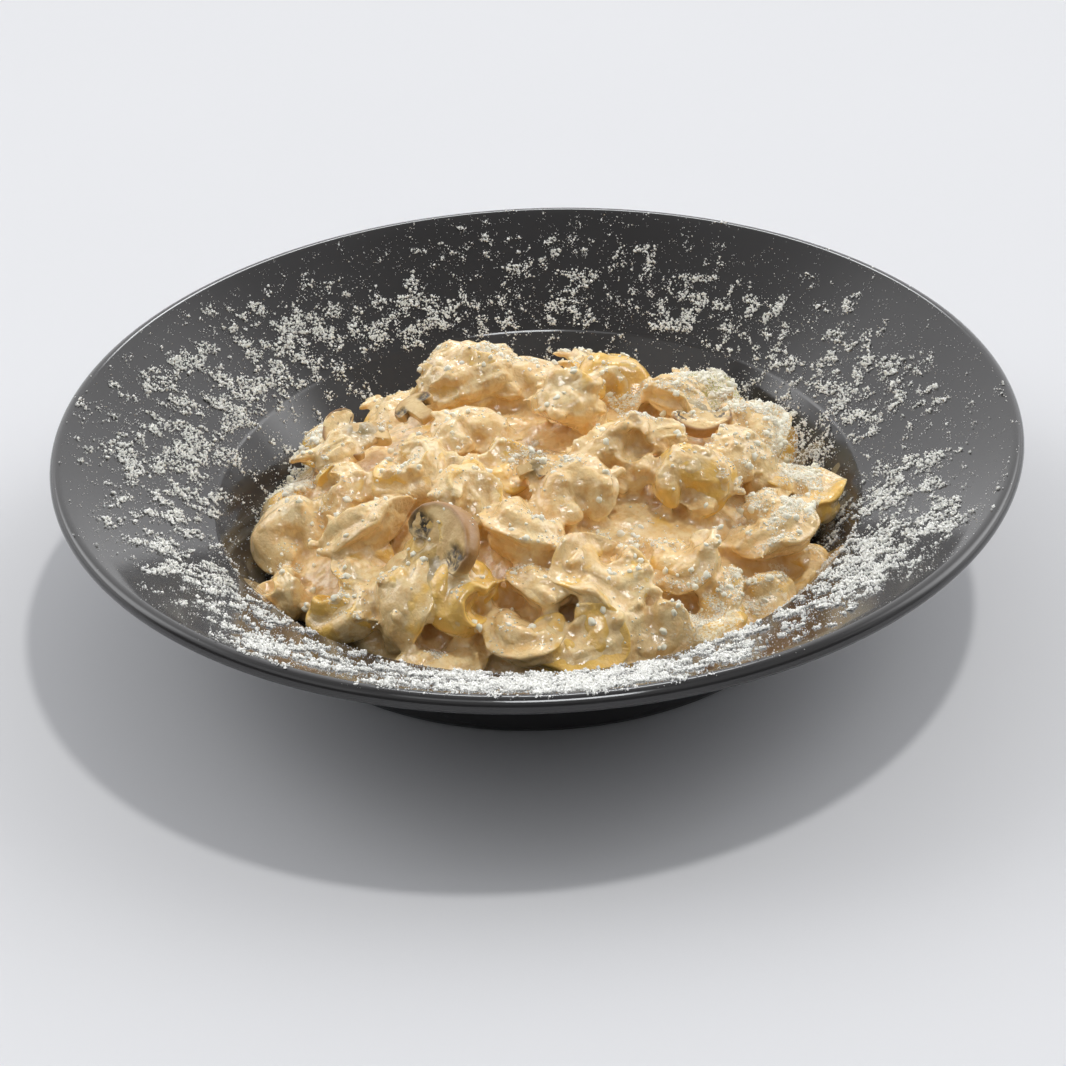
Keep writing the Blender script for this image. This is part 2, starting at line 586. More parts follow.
def core_solid():
    """The sauce under the mound: a dome that lies the core's depth under it, on the well's floor."""
    radius = np.linspace(0.5, FLOOR_RADIUS + 3.0, CORE_ROWS)
    turns = np.linspace(0.0, 2.0 * math.pi, CORE_COLUMNS, endpoint=False)
    top = np.stack([radius[:, None] * np.cos(turns), radius[:, None] * np.sin(turns),
                    (mound_height(radius) - CORE_DEPTH)[:, None] + 0 * turns], axis=-1)
    top[..., 2] += 1.6 * rough_noise(top, 9.0, 51, 2)
    low = top[::-1].copy()
    low[..., 2] = FLOOR_HEIGHT + 0.35
    vertices, faces = tube_solid(np.concatenate([top, low]))
    return vertices, outward(vertices, faces)


def flat_bottomed(vertices, faces, level):
    """The mesh with everything below a level taken off and a fan over the hole, so that it stays closed."""
    keep = (vertices[faces][:, :, 2] > level).any(axis=1)
    faces = faces[keep]
    pairs = np.concatenate([faces[:, [0, 1]], faces[:, [1, 2]], faces[:, [2, 0]]])
    code = np.sort(pairs, axis=1) @ np.array([len(vertices), 1])
    _, first, count = np.unique(code, return_index=True, return_counts=True)
    rim = pairs[first[count == 1]]
    tip = len(vertices)
    faces = np.concatenate([faces, np.stack([rim[:, 1], rim[:, 0], np.full(len(rim), tip)], -1)])
    vertices = np.concatenate([vertices, [[0.0, 0.0, level]]])
    used, again = np.unique(faces, return_inverse=True)
    return vertices[used], again.reshape(faces.shape)


# Where the wall is smeared: direction, spread and amount.
SMEARS = ((12, 24, 0.75), (95, 16, 0.75), (-168, 16, 0.55), (42, 18, 0.65))
SMEAR_ROWS, SMEAR_COLUMNS = 50, 560
SAUCE_CUTS = (-26.0, 27.0)
CUT_SNAP = 0.03             # vertices this near a cut move onto it
CUT_STEP, CUT_REACH = 0.5, 4.0
SAUCE_VOXEL = 0.62
FILL_VOXEL = 0.80
SAUCE_STEP = 0.60
SAUCE_STEPS = 2
SAUCE_SINK = 0.30           # how far the fill lies under the bulges
SAUCE_FILM = 0.14           # mean thickness over the pasta
SAUCE_BARE = 0.80           # how much thinner it is over a piece with no sauce on it
SAUCE_SHOWS = 0.5           # how much of a piece's bareness the sauce over it takes
SAUCE_BOTTOM = 1.6          # height of the sauce's flat underside over the well's floor
SAUCE_GAP = 0.35            # gap between the sauce and the plate's face
# Wavelength, strength and seed of each noise: in the film's thickness, and in the finished surface.
FILM_WAVES = ((9.0, 0.30, 61), (4.0, 0.24, 63), (2.0, 0.14, 65))
SAUCE_RELIEF = ((3.6, 0.22, 75), (1.9, 0.15, 76), (1.3, 0.06, 77))
LUMP_TRIES = 1500
LUMP_SEED = 71
LUMP_PATCH = 13.0           # size of the patches that lumps lie in
LONG_SHARE = 0.3            # share of the lumps that are long
CORE_ROWS, CORE_COLUMNS = 40, 120
PASTA_REACH = 6.5           # how far round a piece its bareness is felt
MUSHROOM_REACH = 7.0
CHICKEN_BARE = 0.85
MUSHROOM_BARE = (1.00, 0.05, 0.10, 0.10, 0.15)


def places_on_food(dice, count):
    """Random places spread evenly over the disc of the food."""
    radius, angle = FOOD_RADIUS * np.sqrt(dice.uniform(0, 1, count)), dice.uniform(0, 2 * math.pi, count)
    return radius * np.cos(angle), radius * np.sin(angle)


def lumps(heights):
    """Small lumps of sauce, cheese and chicken shreds that cling to the food in patches: uneven balls, some
    of them long, sunk a little into the surface."""
    dice = np.random.RandomState(LUMP_SEED)
    x, y = places_on_food(dice, LUMP_TRIES)
    patches = soft_noise(on_table(x, y), LUMP_PATCH, LUMP_SEED)
    kept = patches + dice.uniform(-0.5, 0.5, LUMP_TRIES) > -0.1
    x, y = x[kept], y[kept]
    top, _ = height_at(heights, x, y)
    drawn_out = dice.uniform(0, 1, len(x)) < LONG_SHARE
    long = np.where(drawn_out, dice.uniform(1.8, 3.6, len(x)), dice.uniform(0.9, 1.5, len(x)))
    sizes = (0.6 + 1.5 * dice.uniform(0, 1, (len(x), 1)) ** 2.0) * np.stack(
        [long, np.ones(len(x)), dice.uniform(0.7, 1.0, len(x))], axis=-1)
    places = np.stack([x, y, top - 0.15 * sizes[:, 2]], axis=-1)
    around = dice.uniform(0.0, 2.0 * math.pi, len(x))
    shape = ball_shape(7, 12)
    return [scatter(shape, place[None], turn[None], size[None], dice, 0.10)
            for place, turn, size in zip(places, flat_turns(around), sizes)]


def bareness_near(points):
    """How bare of sauce the pieces round each point are: the mean of theirs, weighted by a bell of how far
    each one lies."""
    rows = [(seat(*row[:6], SEAT * row[6]), PASTA_REACH, row[7]) for row in TORTELLINI]
    rows += [(seat(*row[:6], row[8] / 2.0), 0.32 * row[6], CHICKEN_BARE) for row in CHICKEN]
    rows += [(seat(*row[:6], row[7] / 2.0), MUSHROOM_REACH * row[6], bare)
             for row, bare in zip(MUSHROOMS, MUSHROOM_BARE)]
    centres = np.array([pose.to_translation() for pose, _, _ in rows])
    reach, bare = np.array([row[1] for row in rows]), np.array([row[2] for row in rows])
    gap = np.linalg.norm(points[:, None, :] - centres[None], axis=-1)
    weight = np.exp(-(gap / reach) ** 2) + 1e-6
    return (weight * bare).sum(axis=1) / weight.sum(axis=1)


def greyness_near(points):
    """How much each point of the sauce takes a mushroom's grey from the gills under it, in ragged patches."""
    total = np.zeros(len(points))
    for row in MUSHROOMS:
        centre = np.array(seat(*row[:6], row[7] / 2.0).to_translation())
        total = np.maximum(total, bump(np.linalg.norm(points - centre, axis=-1), 0.0, 9.5 * row[6]))
    patches = with_noise(0.0, points, (5.0, 0.8, 95), (2.2, 0.6, 96))
    return np.clip(1.5 * total + 0.9 * patches * total - 0.45, 0.0, 1.0)


def kept_in_well(vertices, gap):
    """The same points, with those under the plate's face lifted to a small gap over it."""
    lifted = vertices.copy()
    lifted[:, 2] = np.maximum(lifted[:, 2], plate_height(np.hypot(lifted[:, 0], lifted[:, 1])) + gap)
    return lifted


def joined(solids):
    """Several meshes as one, their triangles renumbered."""
    first = np.cumsum([0] + [len(vertices) for vertices, _ in solids])
    return (np.concatenate([vertices for vertices, _ in solids]),
            np.concatenate([faces + start for (_, faces), start in zip(solids, first)]))


def outer_shell(vertices, faces):
    """The largest connected part of a mesh, found by passing the lowest label along the edges until none
    changes.  It drops the closed voids inside the mound."""
    edges = edges_of(faces)
    label = np.arange(len(vertices))
    while True:
        lowest = np.minimum(label[edges[:, 0]], label[edges[:, 1]])
        passed = label.copy()
        np.minimum.at(passed, edges[:, 0], lowest)
        np.minimum.at(passed, edges[:, 1], lowest)
        passed = passed[passed]
        if np.array_equal(passed, label):
            break
        label = passed
    faces = faces[label[faces[:, 0]] == np.bincount(label[faces[:, 0]]).argmax()]
    used, again = np.unique(faces, return_inverse=True)
    return vertices[used], again.reshape(faces.shape)


def sauce_solid(solids):
    """The sauce is two things made one.  The coat is the skin of everything in the mound, moved out by an
    uneven film, and in where a piece is bare.  The fill is that skin moved out in steps and back by a little
    more, which leaves it just under every bulge and fills the creases between them."""
    skin = outer_shell(*revoxel(*joined(solids), SAUCE_VOXEL))
    film = SAUCE_FILM - SAUCE_BARE * bareness_near(skin[0])
    coat = moved_out(*skin, with_noise(film, skin[0], *FILM_WAVES))
    fill = skin
    for _ in range(SAUCE_STEPS):
        fill = outer_shell(*revoxel(*moved_out(*fill, SAUCE_STEP), FILL_VOXEL))
    for _ in range(SAUCE_STEPS - 1):
        fill = revoxel(*moved_out(*fill, -SAUCE_STEP), FILL_VOXEL)
    fill = moved_out(*fill, 0.30 * soft_noise(fill[0], 5.0, 69) - SAUCE_STEP - SAUCE_SINK)
    vertices, faces = outer_shell(*revoxel(*joined([coat, fill]), SAUCE_VOXEL))
    vertices, faces = flat_bottomed(vertices, faces, FLOOR_HEIGHT + SAUCE_BOTTOM)
    relief = with_noise(0.0, vertices, *SAUCE_RELIEF)
    vertices, _ = moved_out(relaxed(vertices, edges_of(faces), 1, 0.4), faces, relief)
    return kept_in_well(vertices, SAUCE_GAP), faces


def slab_between(mesh, low, high):
    """The part of a closed mesh between two planes across x, with flat faces and sharp edges at the cuts, and
    whether it came out closed."""
    work = bmesh.new()
    work.from_mesh(mesh)
    for place, side in ((low, -1.0), (high, 1.0)):
        if place is None:
            continue
        whole = work.verts[:] + work.edges[:] + work.faces[:]
        cut = bmesh.ops.bisect_plane(
            work, geom=whole, dist=CUT_SNAP * MM, use_snap_center=True, clear_outer=True,
            plane_co=(place * MM, 0.0, 0.0), plane_no=(side, 0.0, 0.0))
        rim = [edge for edge in cut["geom_cut"] if isinstance(edge, bmesh.types.BMEdge)]
        cap = bmesh.ops.triangle_fill(work, edges=rim, normal=(side, 0.0, 0.0))
        for part in cap["geom"]:
            if isinstance(part, bmesh.types.BMFace):
                part.smooth = False
        for edge in rim:
            edge.smooth = False
    bmesh.ops.triangulate(work, faces=work.faces)
    bmesh.ops.recalc_face_normals(work, faces=work.faces)
    closed = all(len(edge.link_faces) == 2 for edge in work.edges)
    slab = bpy.data.meshes.new(mesh.name)
    work.to_mesh(slab)
    work.free()
    return slab, closed


def slabs_of(mesh, cuts):
    """A closed mesh as closed slabs: the cuts move a little to the right until every slab is closed."""
    for nudge in np.arange(0.0, CUT_REACH, CUT_STEP):
        bounds = [None, *(place + nudge for place in cuts), None]
        slabs = [slab_between(mesh, low, high) for low, high in zip(bounds[:-1], bounds[1:])]
        if all(closed for _, closed in slabs):
            break
    return [slab for slab, _ in slabs]


def smear_solid():
    """Thin sauce on the well's wall: a closed ring whose top stands over the glaze where noise and the
    direction say that the wall was smeared, and lies under it elsewhere."""
    radius = np.linspace(FLOOR_RADIUS - 2.0, WELL_EDGE_RADIUS - 3.0, SMEAR_ROWS)[:, None]
    turns = np.linspace(0.0, 2.0 * math.pi, SMEAR_COLUMNS, endpoint=False)[None, :]
    top = np.stack([radius * np.cos(turns), radius * np.sin(turns), plate_height(radius) + 0 * turns], -1)
    sides = sum(amount * bump(turned_from(np.degrees(turns), where), 0.0, spread)
                for where, spread, amount in SMEARS)
    share = with_noise(sides - 0.12, top * np.array([1.0, 1.0, 0.0]), (9.0, 0.60, 91), (3.6, 0.35, 92))
    share = share - 1.5 * (radius - FLOOR_RADIUS) / (WELL_EDGE_RADIUS - FLOOR_RADIUS)
    low = top[::-1].copy()
    low[..., 2] -= 1.2
    top[..., 2] += np.clip(0.4 * share, -0.8, 0.25)
    vertices = np.concatenate([top, low]).reshape(-1, 3)
    faces = grid_triangles(2 * SMEAR_ROWS + 1, SMEAR_COLUMNS, True) % len(vertices)
    return vertices, outward(vertices, faces)


# ---- scattered things ------------------------------------------------------------------------------
TETRAHEDRON = (np.array([(1, 1, 1), (1, -1, -1), (-1, 1, -1), (-1, -1, 1)], float) * 0.8,
               np.array([(0, 1, 2), (0, 3, 1), (0, 2, 3), (1, 3, 2)]))
OCTAHEDRON = (np.array([(1, 0, 0), (-1, 0, 0), (0, 1, 0), (0, -1, 0), (0, 0, 1), (0, 0, -1)], float),
              np.array([(0, 2, 4), (2, 1, 4), (1, 3, 4), (3, 0, 4),
                        (2, 0, 5), (1, 2, 5), (3, 1, 5), (0, 3, 5)]))


def random_turns(count, dice):
    """Rotation matrices from random unit quaternions."""
    q = dice.normal(size=(count, 4))
    w, x, y, z = (q / np.linalg.norm(q, axis=1, keepdims=True)).T
    return np.stack([np.stack([1 - 2 * (y * y + z * z), 2 * (x * y - z * w), 2 * (x * z + y * w)], -1),
                     np.stack([2 * (x * y + z * w), 1 - 2 * (x * x + z * z), 2 * (y * z - x * w)], -1),
                     np.stack([2 * (x * z - y * w), 2 * (y * z + x * w), 1 - 2 * (x * x + y * y)], -1)], 1)


def flat_turns(angles):
    """Turns about the upright axis, as matrices."""
    c, n, o = np.cos(angles), np.sin(angles), 0.0 * angles
    return np.stack([np.stack([c, -n, o], -1), np.stack([n, c, o], -1), np.stack([o, o, o + 1.0], -1)], -2)


def scatter(shape, places, turns, sizes, dice, uneven=0.25):
    """Many copies of one small shape as arrays: each is stretched to its size, has its corners pushed about,
    and is then turned and carried to its place."""
    corners, faces = shape
    copies = corners[None] * (1.0 + uneven * dice.uniform(-1, 1, (len(places), len(corners), 1)))
    copies = copies * sizes[:, None, :]
    copies = np.einsum("nij,nkj->nki", turns, copies) + places[:, None, :]
    offset = np.arange(len(places))[:, None, None] * len(corners)
    return copies.reshape(-1, 3), (faces[None] + offset).reshape(-1, 3)


def ball_shape(rings, columns):
    """A small ball: rings of points between two poles."""
    dip = np.linspace(0, math.pi, rings + 2)[1:-1, None]
    around = np.linspace(0, 2 * math.pi, columns, endpoint=False)[None, :]
    side = np.sin(dip)
    points = np.stack([side * np.cos(around), side * np.sin(around), np.cos(dip) + 0 * around], axis=-1)
    vertices = np.concatenate([points.reshape(-1, 3), [[0, 0, 1], [0, 0, -1]]])
    first, last = np.arange(columns), np.arange(columns) + (rings - 1) * columns
    faces = np.concatenate([grid_triangles(rings, columns, True), fan_triangles(first, rings * columns, True),
                            fan_triangles(last, rings * columns + 1, False)])
    return vertices, outward(vertices, faces)


def plate_height(radius):
    """Height of the plate's upper face at a distance from the middle."""
    inside, slope = plate_inside()
    lip_r = PLATE_RADIUS - LIP_RADIUS + LIP_RADIUS * math.cos(math.radians(90 + slope))
    lip_z = PLATE_HEIGHT - LIP_RADIUS + LIP_RADIUS * math.sin(math.radians(90 + slope))
    return np.interp(radius, np.append(inside[:, 0], lip_r), np.append(inside[:, 1], lip_z))


# Where the cheese fell on the plate: direction from the middle, distance, spread of each, share covered.
CHEESE_FALLS = (
    (-91, 120, 20, 34, 0.74), (-86, 140, 12, 12, 0.68), (-121, 128, 14, 14, 0.52), (-62, 110, 11, 16, 0.34),
    (-34, 110, 17, 21, 0.78), (-10, 110, 14, 17, 0.44), (18, 110, 28, 20, 0.42), (50, 110, 26, 19, 0.39),
    (92, 110, 34, 20, 0.41), (130, 110, 20, 18, 0.59), (156, 112, 24, 20, 0.60), (180, 114, 15, 20, 0.62),
    (-148, 114, 18, 20, 0.38), (28, 93, 26, 7, 0.66), (-8, 93, 14, 6, 0.50), (170, 88, 14, 4, 0.70),
)
WALL_SHARE = 0.30           # how much of what falls on the rim reaches the well's wall


def cheese_share(x, y):
    """The share of the plate's face that cheese covers at a place: bells in direction and distance round each
    fall, those on the rim thinning out over the well's edge."""
    radius, angle = np.hypot(x, y), np.degrees(np.arctan2(y, x))
    total = np.full(np.shape(x), 0.02)
    over_edge = smooth_step(WELL_EDGE_RADIUS - 5.0, WELL_EDGE_RADIUS + 3.0, radius)
    beyond = WALL_SHARE + (1.0 - WALL_SHARE) * over_edge
    for where, distance, spread, depth, amount in CHEESE_FALLS:
        bell = amount * bump(turned_from(angle, where), 0.0, spread) * bump(radius, distance, depth)
        total = np.maximum(total, bell * beyond if distance > WELL_EDGE_RADIUS else bell)
    return total


def fallen_on_plate(density, seed, low, high, ragged):
    """Random places on the plate between two radii, so many a square millimetre, kept where a clustered noise
    is over the level that leaves the share of cheese there.  Ragged is how far each may miss that level."""
    dice = np.random.RandomState(seed)
    tries = int(density * math.pi * (high ** 2 - low ** 2))
    angle = dice.uniform(0.0, 2.0 * math.pi, tries)
    radius = np.sqrt(dice.uniform(low ** 2, high ** 2, tries))
    x, y = radius * np.cos(angle), radius * np.sin(angle)
    flat = on_table(x, y)
    flat = flat + 1.2 * noise_vectors(flat, 2.6, 207) * np.array([1.0, 1.0, 0.0])
    noise = with_noise(0.0, flat, (8.5, 0.50, 201), (3.4, 0.85, 202), (1.6, 0.75, 203))
    share = np.clip(cheese_share(x, y), 0.005, 0.97)
    level = 0.36 * np.log((1.0 - share) / share)
    kept = noise + ragged * dice.normal(0.0, 1.0, tries) > level
    return x[kept], y[kept], dice


MAP_CELL, MAP_HALF = 0.8, 100.0             # the height map's cell, and half its side
MAP_SIDE = int(2 * MAP_HALF / MAP_CELL)
EMPTY = -1.0


def map_cells(x, y, margin):
    """The height map's column and row at each place, kept a margin of cells inside its border."""
    return [np.clip(((value + MAP_HALF) / MAP_CELL).astype(int), margin, MAP_SIDE - 1 - margin)
            for value in (x, y)]


def height_map(clouds):
    """The highest vertex over each cell of a square grid, with empty cells filled from their neighbours."""
    points = np.concatenate(clouds)
    column, row = map_cells(points[:, 0], points[:, 1], 0)
    heights = np.full((MAP_SIDE, MAP_SIDE), EMPTY)
    np.maximum.at(heights, (column, row), points[:, 2])
    for _ in range(3):
        padded = np.pad(heights, 1, constant_values=EMPTY)
        shifted = [padded[i:MAP_SIDE + i, j:MAP_SIDE + j] for i in range(3) for j in range(3)]
        heights = np.where(heights < 0, np.max(shifted, axis=0), heights)
    return heights


def height_at(heights, x, y):
    """Height and slope of the height map at some places."""
    column, row = map_cells(x, y, 1)
    slope_x = (heights[column + 1, row] - heights[column - 1, row]) / (2 * MAP_CELL)
    slope_y = (heights[column, row + 1] - heights[column, row - 1]) / (2 * MAP_CELL)
    return heights[column, row], np.hypot(slope_x, slope_y)


def cheese_on_plate(shape, density, seed, low, high, ragged, small, large, pile):
    """Bits of cheese on the plate's face between two radii, each of a random size and turn, and some of them
    lying on others up to the height of the pile."""
    x, y, dice = fallen_on_plate(density, seed, low, high, ragged)
    sizes = dice.uniform(small, large, (len(x), 3)) * dice.uniform(0.7, 1.3, (len(x), 1))
    lift = 0.4 * sizes[:, 2] + pile * dice.uniform(0.0, 1.0, len(x)) ** 2
    places = np.stack([x, y, plate_height(np.hypot(x, y)) + lift], axis=-1)
    return scatter(shape, places, random_turns(len(x), dice), sizes, dice)


def crumbs_on_food(heights, shape, tries, count, seed, small, large, power, patch, least):
    """Crumbs on the food: random places on the mound, kept where a die falls under the dusting, less where it
    is steep, and sized by a power of a die."""
    dice = np.random.RandomState(seed)
    x, y = places_on_food(dice, tries)
    top, steep = height_at(heights, x, y)
    amount = (1.0 - patch) * 0.4 + patch * dusting(np.stack([x, y, top], axis=-1)) ** 1.5
    kept = (dice.uniform(0, 1, len(x)) < amount * np.clip(1.3 - steep, least, 1.0)) & (top > 12.0)
    x, y, top = x[kept][:count], y[kept][:count], top[kept][:count]
    sizes = (small + large * dice.uniform(0, 1, (len(x), 1)) ** power) * dice.uniform(0.7, 1.3, (len(x), 3))
    places = np.stack([x, y, top - 0.30 * sizes[:, 2]], axis=-1)
    return scatter(shape, places, random_turns(len(x), dice), sizes, dice, 0.22)


# ---- finishes --------------------------------------------------------------------------------------
def paint(red, green, blue):
    """A colour from its 0 to 255 screen values, as linear light."""
    def linear(value):
        share = value / 255.0
        return share / 12.92 if share <= 0.04045 else ((share + 0.055) / 1.055) ** 2.4
    return (linear(red), linear(green), linear(blue), 1.0)


class Board:
    """A node tree with short calls to add nodes, set their sockets and join them."""

    def __init__(self, tree):
        self.tree = tree

    def feed(self, socket, value):
        """Joins a socket to another one, or sets it to a number or a colour."""
        if isinstance(value, bpy.types.NodeSocket):
            self.tree.links.new(value, socket)
        else:
            socket.default_value = value

    def fill(self, node, **sockets):
        """Feeds a node's sockets by name, with an underscore for each space."""
        for key, value in sockets.items():
            self.feed(node.inputs[key.replace("_", " ")], value)

    def node(self, kind, settings=None, **sockets):
        """A new node with its settings and sockets."""
        made = self.tree.nodes.new(kind)
        for key, value in (settings or {}).items():
            setattr(made, key, value)
        self.fill(made, **sockets)
        return made

    def place(self):
        """The place on the object, in metres."""
        return self.node("ShaderNodeTexCoord").outputs["Object"]

    def attribute(self, name):
        """A number that the piece carries on its vertices."""
        return self.node("ShaderNodeAttribute", {"attribute_name": name}).outputs["Fac"]

    def math(self, operation, first, second=0.0):
        """A sum of one or two numbers."""
        made = self.node("ShaderNodeMath", {"operation": operation})
        for socket, value in zip(made.inputs, (first, second)):
            self.feed(socket, value)
        return made.outputs[0]

    def times(self, first, second):
        """The product of two numbers."""
        return self.math("MULTIPLY", first, second)

    def mix(self, share, first, second):
        """A colour between two."""
        made = self.node("ShaderNodeMix", {"data_type": "RGBA"})
        for index, value in ((0, share), (6, first), (7, second)):
            self.feed(made.inputs[index], value)
        return made.outputs[2]

    def spread(self, value, low, high, to_low=0.0, to_high=1.0):
        """A smooth step from one number to another as the value goes from low to high."""
        made = self.node("ShaderNodeMapRange", {"interpolation_type": "SMOOTHSTEP"})
        for socket, number in zip(made.inputs, (value, low, high, to_low, to_high)):
            self.feed(socket, number)
        return made.outputs[0]

    def noise(self, place, scale, detail=2.0, rough=0.5, warp=0.0):
        """Noise from 0 to 1, so many waves a metre."""
        made = self.node("ShaderNodeTexNoise", Vector=place, Scale=scale, Detail=detail, Roughness=rough,
                         Distortion=warp)
        return made.outputs["Fac"]

    def relief(self, height, strength, distance):
        """A normal bumped by a height."""
        made = self.node("ShaderNodeBump", Height=height, Strength=strength, Distance=distance)
        return made.outputs["Normal"]


def new_group(name, inputs, outputs):
    """An empty shader group with its sockets, and its in and out nodes."""
    tree = bpy.data.node_groups.new(name, "ShaderNodeTree")
    for label, kind, value in inputs:
        socket = tree.interface.new_socket(label, in_out="INPUT", socket_type=kind)
        socket.default_value = value
    for label, kind in outputs:
        tree.interface.new_socket(label, in_out="OUTPUT", socket_type=kind)
    return Board(tree), tree.nodes.new("NodeGroupInput"), tree.nodes.new("NodeGroupOutput")


def cream_group():
    """Cream sauce over a food: sauce colours, the food's own colour where the film is thin, warmer in
    creases, grey over the mushroom's gills, wet and dull patches, and dry cheese where the dusting says."""
    number, colour = "NodeSocketFloat", "NodeSocketColor"
    board, given, result = new_group(
        "Cream film",
        (("Bare", number, 0.3), ("Crease", number, 0.0), ("Dust", number, 0.4), ("Grey", number, 0.0),
         ("Food", colour, paint(228, 186, 98))),
        (("Color", colour), ("Roughness", number), ("Wet", number), ("Height", number)))
    bare, crease, dusty, grey, food = (given.outputs[label]
                                       for label in ("Bare", "Crease", "Dust", "Grey", "Food"))
    place = board.place()
    broad = board.noise(place, 60.0, 3.0, 0.5, 0.4)
    patch = board.noise(place, 105.0, 2.0, 0.5, 0.6)
    curd = board.noise(place, 270.0, 3.0, 0.6, 0.3)
    fine = board.noise(place, 520.0, 3.0, 0.5)
    grain = board.noise(place, 1500.0, 2.0, 0.5)
    wet = board.spread(board.noise(place, 90.0, 3.0, 0.6, 0.5), 0.36, 0.50)

    film = board.mix(board.spread(broad, 0.35, 0.66), paint(240, 207, 149), paint(247, 221, 168))
    film = board.mix(board.times(board.spread(curd, 0.48, 0.66), 0.55), film, paint(226, 184, 118))
    film = board.mix(board.times(board.spread(fine, 0.50, 0.68), 0.42), film, paint(230, 182, 110))
    edge = board.math("SUBTRACT", 0.86, board.times(bare, 0.62))
    thin = board.spread(patch, board.math("SUBTRACT", edge, 0.13), board.math("ADD", edge, 0.05))
    film = board.mix(board.times(thin, 0.85), film, food)
    film = board.mix(board.times(crease, 0.70), film, paint(196, 146, 78))
    film = board.mix(board.times(grey, 0.75), film, paint(116, 104, 70))

    more = board.times(dusty, 0.34)
    speck = board.spread(board.noise(place, 1100.0, 3.0, 0.6), board.math("SUBTRACT", 0.80, more),
                         board.math("SUBTRACT", 0.86, more))
    dust = board.times(speck, board.spread(dusty, 0.02, 0.25))
    film = board.mix(board.times(dust, 0.80), film, paint(254, 240, 212))
    height = board.math("ADD", board.times(grain, 0.22), board.times(dust, 0.3))
    board.fill(result, Color=film,
               Roughness=board.math("ADD", board.spread(wet, 0.0, 1.0, 0.42, 0.24), board.times(dust, 0.35)),
               Wet=board.times(wet, board.math("SUBTRACT", 1.0, dust)),
               Height=board.math("ADD", board.times(fine, 0.7), height))
    return board.tree


def finish_base(name):
    """A new material, with its board and its shader."""
    made = bpy.data.materials.new(name)
    made.use_nodes = True
    return made, Board(made.node_tree), made.node_tree.nodes["Principled BSDF"]


def creamed(name, group, food, bare=None):
    """A food under cream: the cream film group feeding one wet, slightly translucent shader.  The crease, the
    dust and the grey come from the piece's own attributes, and so does the bareness where none is given."""
    made, board, shader = finish_base(name)
    film = board.node("ShaderNodeGroup", {"node_tree": group}, Food=food, Crease=board.attribute("crease"),
                      Bare=board.attribute("bare") if bare is None else bare,
                      Dust=board.attribute("dust"), Grey=board.attribute("grey"))
    board.fill(shader, Base_Color=film.outputs["Color"], Roughness=film.outputs["Roughness"],
               Normal=board.relief(film.outputs["Height"], 0.8, 0.0008), Specular_IOR_Level=0.25,
               Coat_Weight=film.outputs["Wet"], Coat_Roughness=0.06, Coat_IOR=1.45,
               Coat_Normal=board.relief(board.noise(board.place(), 800.0), 0.9, 0.0002),
               Subsurface_Weight=0.4, Subsurface_Radius=(0.0012, 0.0012, 0.0010), Subsurface_Scale=1.0)
    return made


def glaze_finish():
    """Satin charcoal glaze: a dark grey with faint cloudiness and fine orange-peel relief."""
    made, board, shader = finish_base("charcoal_glaze")
    place = board.place()
    board.fill(shader,
               Base_Color=board.mix(board.noise(place, 24.0, 3.0, 0.5), paint(48, 47, 47), paint(56, 55, 56)),
               Roughness=board.spread(board.noise(place, 160.0, 3.0, 0.6), 0.3, 0.7, 0.09, 0.12),
               Normal=board.relief(board.noise(place, 500.0), 0.02, 0.0005))
    return made


def cheese_finish(name, low, high, depth, powdery):
    """Grated hard cheese: matt, mottled between two colours, with light passing a little way through it, and
    a soft sheen where it is powdery."""
    made, board, shader = finish_base(name)
    board.fill(shader, Base_Color=board.mix(board.noise(board.place(), 300.0), low, high), Roughness=0.75,
               Subsurface_Weight=0.6, Subsurface_Radius=(depth, depth, depth), Subsurface_Scale=1.0,
               Sheen_Weight=powdery, Sheen_Roughness=0.6)
    return made


def mushroom_finish():
    """Cooked mushroom: pale tan flesh, grey-black gills and a brown skin, from the slice's own masks."""
    made, board, shader = finish_base("cooked_mushroom")
    place = board.place()
    blotch = board.noise(place, 220.0, 4.0, 0.6, 0.5)
    dark = board.spread(board.noise(place, 520.0, 3.0, 0.6), 0.25, 0.60)
    colour = board.mix(board.spread(blotch, 0.35, 0.65), paint(206, 168, 106), paint(230, 200, 142))
    colour = board.mix(board.times(board.attribute("skin"), 0.75), colour, paint(150, 98, 42))
    colour = board.mix(board.times(board.attribute("gill"), dark), colour, paint(58, 50, 38))
    board.fill(shader, Base_Color=colour, Roughness=board.spread(blotch, 0.3, 0.7, 0.28, 0.44),
               Normal=board.relief(board.noise(place, 1100.0, 3.0, 0.6), 0.35, 0.0004),
               Subsurface_Weight=0.12, Subsurface_Radius=(0.0020, 0.0012, 0.0006))
    return made


def plain_finish(name, colour, rough):
    """One colour with a slight mottle, for flecks and smears."""
    made, board, shader = finish_base(name)
    dark = tuple(0.55 * c for c in colour[:3]) + (1.0,)
    board.fill(shader, Base_Color=board.mix(board.noise(board.place(), 900.0), dark, colour), Roughness=rough)
    return made


# ---- studio ----------------------------------------------------------------------------------------
FLOOR_HALF = 20.0           # metres
KEY_FROM = (0.262, 0.224, 1.0)
KEY_STRENGTH = 0.87
KEY_WIDTH = 4.0             # degrees
